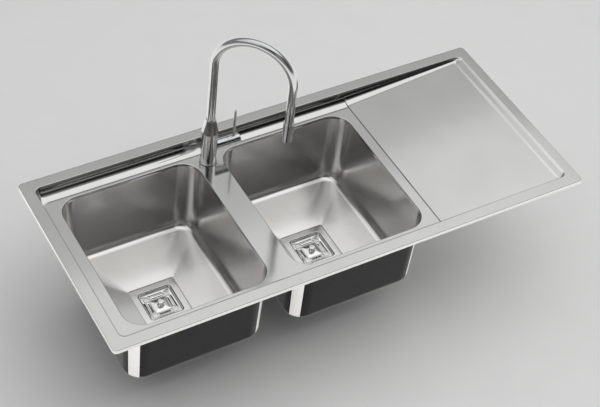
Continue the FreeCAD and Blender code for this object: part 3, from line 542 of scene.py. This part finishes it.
for side, middle in BOWL_X.items():
    tray = bmesh.new()
    lip = round_corner((TRAY_HALF, TRAY_SKIRT), (TRAY_HALF, 0), (0, 0), LIP_SOFT, 4)
    inner_lip = round_corner((TRAY_HALF, 0), (TRAY_INSIDE, 0), (TRAY_INSIDE, -TRAY_DEPTH),
                             LIP_SOFT, 4)
    tray_edge = round_corner((TRAY_INSIDE, 0), (TRAY_INSIDE, -TRAY_DEPTH), (0, -TRAY_DEPTH),
                             TRAY_SOFT, 5)
    rows = []
    for half, level in [(TRAY_HALF, TRAY_SKIRT)] + [tuple(p) for p in lip + inner_lip + tray_edge]:
        points = outline(half * MM, half * MM, (half - TRAY_STRAIGHT) * MM, 10)
        rows.append(ring(tray, points, TRAY_TOP + level * MM, middle))
    bridge_all(tray, rows)
    tray_floor = TRAY_TOP - TRAY_DEPTH * MM
    holes = []
    for quarter in range(4):
        for away, length in ((32.3, 36), (23.3, 27)):
            points = drain_slot(length * MM, SLOT_WIDTH * MM, away * MM, quarter * math.pi / 2)
            holes.append(ring(tray, points, tray_floor, middle))
    fill(tray, [rows[-1]] + holes)

    # The frame's outside and its five windows: half sizes, corner, place, and 1 for outside.
    sides = (WINDOW_PLACE, -WINDOW_PLACE)
    windows = [(FRAME_HALF, FRAME_HALF, 3, 0, 0, 1), (WINDOW_HALF, WINDOW_HALF, 2, 0, 0, -1)]
    windows += [(WINDOW_HALF, WINDOW_NARROW, WINDOW_CORNER, 0, away, -1) for away in sides]
    windows += [(WINDOW_NARROW, WINDOW_HALF, WINDOW_CORNER, away, 0, -1) for away in sides]
    frame_edge = round_corner((0, FRAME_FOOT), (0, FRAME_TOP), (5, FRAME_TOP), FRAME_SOFT, 5)
    tops = []
    for half_x, half_y, corner, x, y, way in windows:
        edge_rows = []
        for inset, level in [(0, FRAME_FOOT)] + [tuple(p) for p in frame_edge]:
            grow = -way * inset
            points = outline((half_x + grow) * MM, (half_y + grow) * MM,
                             max(corner + grow, 0.3) * MM, 6)
            edge_rows.append(ring(tray, points, tray_floor + level * MM, middle + x * MM, y * MM))
        for low, high in zip(edge_rows, edge_rows[1:]):
            bridge(tray, *((low, high) if way > 0 else (high, low)))
        tops.append(edge_rows[-1])
    fill(tray, tops)

    # The domed middle: half size, level and corner of each row.
    dome = ((18.4, FRAME_FOOT, 2), (18, 0.1, 2), (13, 1.0, 3), (8.6, 1.5, 4), (6, 1.6, 4))
    bridge_all(tray, [ring(tray, outline(half * MM, half * MM, corner * MM, 6),
                           tray_floor + level * MM, middle) for half, level, corner in dome])
    add_piece(side + "_strainer_tray", tray, side + "_strainer", side + "_strainer_basket",
              "polished_steel", polished_steel, sheet=TRAY_SHEET)

    knob = turned(rounded((
        (0, -9, 0), (3, -9, 0), (3, -7.8, 0), (8, -7.8, 0.5), (7.2, -6, 0.6), (5, -4.2, 1.5),
        (5, -1.4, 1.5), (8, 1.6, 1.2), (8, 3.6, 1), (6.4, 5.1, 1), (0, 5.2, 0))), closed=False)
    bmesh.ops.translate(knob, verts=knob.verts, vec=(middle, 0, TRAY_TOP))
    add_piece(side + "_lift_knob", knob, side + "_strainer", side + "_strainer_knob",
              "polished_steel", polished_steel, crease=50)
    dress(side + "_strainer_seal", rubber)

# ---------------------------------------------------------------------------
# Tap foot and body: a chromed brass barrel with a side boss for the cartridge,
# standing on a foot ring and a thin rubber seal.

BARREL_RADIUS = 18.5
BARREL_TOP = 92
BARREL_FOOT = 5
BOSS_RADIUS = 11.5
BOSS_END = 45
LEVER_RISE = Vector((0, 0, 44 * MM))
chrome = surface("chrome", metal=1.0, tones=((0.56, 0.562, 0.565), (0.61, 0.612, 0.615)),
                 rough=(0.08, 0.12), grain=60, bump=0.004, detail=2.0)


def stand(mesh, place, along_x=False):
    """Move a turned mesh to its place, laid along X first where asked."""
    if along_x:
        bmesh.ops.rotate(mesh, verts=mesh.verts, cent=(0, 0, 0),
                         matrix=Matrix.Rotation(math.pi / 2, 3, "Y"))
    bmesh.ops.translate(mesh, verts=mesh.verts, vec=place)
    return mesh


foot = turned(rounded(((16.05, 1, 0), (19.5, 1, 0.3), (19.5, BARREL_FOOT, 0.9),
                       (16.05, BARREL_FOOT, 0))))
add_piece("tap_foot_ring", stand(foot, TAP), "sink", "tap_base_ring", "chrome", chrome)

barrel = turned(rounded((
    (12, BARREL_FOOT, 0), (BARREL_RADIUS, BARREL_FOOT, 0.4), (BARREL_RADIUS, BARREL_TOP, 0.6),
    (13.5, BARREL_TOP, 0.3), (13.5, 58, 0), (7, 58, 0), (7, 21, 0), (12, 21, 0))))
boss = turned(rounded(((9.05, 14, 0), (BOSS_RADIUS, 14, 0), (BOSS_RADIUS, BOSS_END, 0.4),
                       (9.05, BOSS_END, 0.2))))
stand(boss, LEVER_RISE, along_x=True)
boss_data = bpy.data.meshes.new("boss")
boss.to_mesh(boss_data)
boss.free()
barrel.from_mesh(boss_data)
bpy.data.meshes.remove(boss_data)
add_piece("tap_barrel", stand(barrel, TAP), "sink", "tap_body", "chrome", chrome)
dress("tap_base_seal", rubber)

# ---------------------------------------------------------------------------
# Tap fixing: a threaded brass shank through the deck, drawn down by a nut on a steel
# washer and a rubber washer.

brass = surface("brass", metal=1.0, tones=((0.70, 0.52, 0.25), (0.78, 0.60, 0.30)),
                rough=(0.22, 0.34), grain=500, bump=0.05)
dress("tap_shank", brass)
dress("clamp_rubber", rubber)
dress("clamp_plate", polished_steel)
dress("clamp_nut", brass)

# ---------------------------------------------------------------------------
# Cartridge: a plastic valve held in the boss by a brass nut, with a brass spindle
# that the lever turns.

dress("cartridge", white_plastic)
dress("cartridge_nut", brass)
dress("cartridge_spindle", brass)

# ---------------------------------------------------------------------------
# Lever: a chromed hub on the spindle, locked by a grub screw from below, with a
# slim upright pin pressed into it.

LEVER_AXIS = TAP + LEVER_RISE
HUB_FOOT = BOSS_END + 0.5
HUB_END = 75
HUB_BORE = 4.05
BORE_END = 59.5
PIN_PLACE = Vector((61 * MM, 0, 0))
PIN_RADIUS = 3
PIN_FOOT = 5.5
PIN_TOP = 87
hub = turned(rounded(((HUB_BORE, HUB_FOOT, 0), (BOSS_RADIUS, HUB_FOOT, 0.4),
                      (BOSS_RADIUS, HUB_END, 1), (0, HUB_END, 0), (0, BORE_END, 0),
                      (HUB_BORE, BORE_END, 0))), closed=False)
add_piece("lever_barrel", stand(hub, LEVER_AXIS, along_x=True), "lever", "lever_hub",
          "chrome", chrome)
rod = turned(rounded(((0, PIN_FOOT, 0), (PIN_RADIUS, PIN_FOOT, 0), (PIN_RADIUS, PIN_TOP, 1),
                      (0, PIN_TOP, 0))), steps=48, closed=False)
add_piece("lever_rod", stand(rod, LEVER_AXIS + PIN_PLACE), "lever", "lever_pin",
          "chrome", chrome)
dress("lever_grub_screw", polished_steel)

# ---------------------------------------------------------------------------
# Spout: a chromed tube bent in a half circle, with a tapered collar brazed at its
# foot. It turns in a plastic bush, sealed by two O-rings.

SWING = math.radians(49.5)
PIPE_RADIUS = 9.6
PIPE_WALL = 1.3 * MM
PIPE_STEPS = 64
PIPE_FOOT = 66
PIPE_END = 172.5
BEND = 88.5
BEND_FOOT = 288
COLLAR_FOOT = BARREL_TOP + 0.5
COLLAR_TOP = 129.5
collar = turned(rounded(((PIPE_RADIUS, COLLAR_FOOT, 0), (BARREL_RADIUS, COLLAR_FOOT, 0.5),
                         (11.3, COLLAR_TOP, 0.6), (PIPE_RADIUS, COLLAR_TOP, 0))))
add_piece("spout_collar", stand(collar, TAP), "spout", "neck_cone", "chrome", chrome)

pipe = bmesh.new()
reach_way = Vector((math.cos(SWING), -math.sin(SWING), 0))
side_way = Vector((math.sin(SWING), math.cos(SWING), 0))
path = [(0, PIPE_FOOT, 0), (0, BEND_FOOT, 0)]
for bend in range(3, 180, 3):
    lean = math.radians(bend)
    path.append((BEND - BEND * math.cos(lean), BEND_FOOT + BEND * math.sin(lean), bend))
path += [(2 * BEND, BEND_FOOT, 180), (2 * BEND, PIPE_END, 180)]
rows = []
for reach, height, bend in path:
    centre = TAP + reach_way * reach * MM + Vector((0, 0, height * MM))
    lean = math.radians(bend)
    across = reach_way * math.cos(lean) - Vector((0, 0, 1)) * math.sin(lean)
    row = []
    for i in range(PIPE_STEPS):
        angle = 2 * math.pi * i / PIPE_STEPS
        arm = across * math.cos(angle) + side_way * math.sin(angle)
        row.append(pipe.verts.new(centre + PIPE_RADIUS * MM * arm))
    rows.append(row)
bridge_all(pipe, rows)
add_piece("spout_pipe", pipe, "spout", "spout", "chrome", chrome, sheet=PIPE_WALL)
dress("spout_bush", white_plastic)
dress("spout_o_rings", rubber)

# ---------------------------------------------------------------------------
# Outlet: a chromed sleeve on the end of the spout, with a plastic insert that breaks
# the jet up.

OUTLET = TAP + reach_way * 2 * BEND * MM + Vector((0, 0, 141.5 * MM))
SLEEVE_RADIUS = 11.7
SLEEVE_TOP = 51
GROOVE_PLACE = 20
sleeve = turned(rounded((
    (PIPE_RADIUS, 0, 0), (SLEEVE_RADIUS, 0, 0.5), (SLEEVE_RADIUS, GROOVE_PLACE - 0.5, 0.3),
    (SLEEVE_RADIUS - 0.5, GROOVE_PLACE, 0), (SLEEVE_RADIUS, GROOVE_PLACE + 0.5, 0.3),
    (SLEEVE_RADIUS, SLEEVE_TOP, 0.5), (PIPE_RADIUS, SLEEVE_TOP, 0))))
add_piece("spout_sleeve", stand(sleeve, OUTLET), "spout", "outlet_sleeve", "chrome", chrome)
dress("aerator", white_plastic)

# ---------------------------------------------------------------------------
# Studio: a plain pale floor under the sink that steel reflects as white, three soft
# boxes stacked overhead so that their glow fades to the back, a fill for the floor,
# and a pale room with two soft dark flags at the front that give the steel its darks.

FLOOR_REACH = 20
FLOOR_LEVEL = -0.3185
floor_paint = surface("floor_paint", metal=0.0,
                      tones=((0.815, 0.815, 0.805), (0.83, 0.83, 0.82)),
                      rough=(0.75, 0.85), grain=40, bump=0.02)
floor_shader = floor_paint.node_tree.nodes["Principled BSDF"]
floor_shader.inputs["Emission Color"].default_value = (0.6, 0.6, 0.59, 1)
seen_by = floor_paint.node_tree.nodes.new("ShaderNodeLightPath")
floor_paint.node_tree.links.new(seen_by.outputs["Is Glossy Ray"],
                                floor_shader.inputs["Emission Strength"])
ground = bmesh.new()
for x, y in ((-1, -1), (1, -1), (1, 1), (-1, 1)):
    ground.verts.new((x * FLOOR_REACH, y * FLOOR_REACH, FLOOR_LEVEL))
ground.faces.new(ground.verts)
ground_data = bpy.data.meshes.new("floor")
ground.to_mesh(ground_data)
ground.free()
ground_data.materials.append(floor_paint)
floor = bpy.data.objects.new("floor", ground_data)
bpy.context.scene.collection.objects.link(floor)


def soft_box(name, place, aim, width, height, glow):
    """A rectangular lamp of an even glow, turned to a point."""
    lamp = bpy.data.lights.new(name, "AREA")
    lamp.shape = "RECTANGLE"
    lamp.size = width
    lamp.size_y = height
    lamp.energy = glow * math.pi * width * height
    stand_in = bpy.data.objects.new(name, lamp)
    stand_in.location = place
    stand_in.rotation_euler = (Vector(aim) - Vector(place)).to_track_quat("-Z", "Y").to_euler()
    bpy.context.scene.collection.objects.link(stand_in)
    return stand_in


soft_box("overhead_box", place=(-0.225, 0.75, 3.0), aim=(-0.225, 0.75, 0.0),
         width=6.75, height=4.8, glow=0.32)
soft_box("front_overhead_box", place=(-0.225, 0.30, 2.9), aim=(-0.225, 0.30, 0.0),
         width=6.75, height=3.9, glow=0.33)
soft_box("high_box", place=(2.5, 0.15, 8.0), aim=(2.5, 0.15, 0.0),
         width=11.0, height=9.5, glow=0.24)
fill_box = soft_box("fill_box", place=(1.6, -1.6, 4.5), aim=(0.0, 0.0, 0.0),
                    width=7.0, height=7.0, glow=0.6)
fill_box.visible_glossy = False

world = bpy.data.worlds.new("room")
bpy.context.scene.world = world
world.use_nodes = True
room_nodes = world.node_tree.nodes
room_links = world.node_tree.links
room = room_nodes["Background"]
way_out = room_nodes.new("ShaderNodeTexCoord")
both_flags = room_nodes.new("ShaderNodeMath")
both_flags.operation = "MULTIPLY"
FLAG_FADE = 0.45
# Each flag: degrees aside of the front, rise, spread, then the room's glow off it and on it.
flags = ((28, 0.36, (0.34, 0.7, 0.42), 0.3, 0.012), (-35, 0.75, (0.45, 0.9, 0.38), 1.0, 0.1))
for i, (aside, rise, spread, lit, dark) in enumerate(flags):
    turn = math.radians(aside)
    level = math.sqrt(1 - rise * rise)
    lay = room_nodes.new("ShaderNodeMapping")
    lay.vector_type = "TEXTURE"
    lay.inputs["Location"].default_value = (level * math.sin(turn), -level * math.cos(turn), rise)
    lay.inputs["Rotation"].default_value = (0, 0, turn)
    lay.inputs["Scale"].default_value = spread
    room_links.new(way_out.outputs["Generated"], lay.inputs["Vector"])
    flag = room_nodes.new("ShaderNodeTexGradient")
    flag.gradient_type = "SPHERICAL"
    room_links.new(lay.outputs["Vector"], flag.inputs["Vector"])
    shade = room_nodes.new("ShaderNodeMapRange")
    shade.interpolation_type = "SMOOTHSTEP"
    shade.inputs["From Max"].default_value = FLAG_FADE
    shade.inputs["To Min"].default_value = lit
    shade.inputs["To Max"].default_value = dark
    room_links.new(flag.outputs["Fac"], shade.inputs["Value"])
    room_links.new(shade.outputs["Result"], both_flags.inputs[i])
room_links.new(both_flags.outputs["Value"], room.inputs["Strength"])
room.inputs["Color"].default_value = (0.97, 0.985, 1.0, 1)

# ---------------------------------------------------------------------------
# Camera: from the front left, looking down on the sink as in the photograph, with the
# same slight roll.

EYE = Vector((-1.33099, -1.88210, 2.34419))
heading = math.radians(35.007)
drop = math.radians(46.218)
roll = math.radians(7.878)
ahead = Vector((math.cos(drop) * math.sin(heading), math.cos(drop) * math.cos(heading),
                -math.sin(drop)))
level_right = ahead.cross(Vector((0, 0, 1))).normalized()
level_up = level_right.cross(ahead)
right = level_right * math.cos(roll) + level_up * math.sin(roll)
up = level_up * math.cos(roll) - level_right * math.sin(roll)
view = bpy.data.cameras.new("camera")
view.lens = 89.1
view.sensor_width = 36
view.sensor_fit = "HORIZONTAL"
camera = bpy.data.objects.new("camera", view)
pose = Matrix((right, up, -ahead)).transposed().to_4x4()
pose.translation = EYE
camera.matrix_world = pose
bpy.context.scene.collection.objects.link(camera)
bpy.context.scene.camera = camera
bpy.context.scene.view_settings.view_transform = "Standard"

bpy.context.view_layer.update()
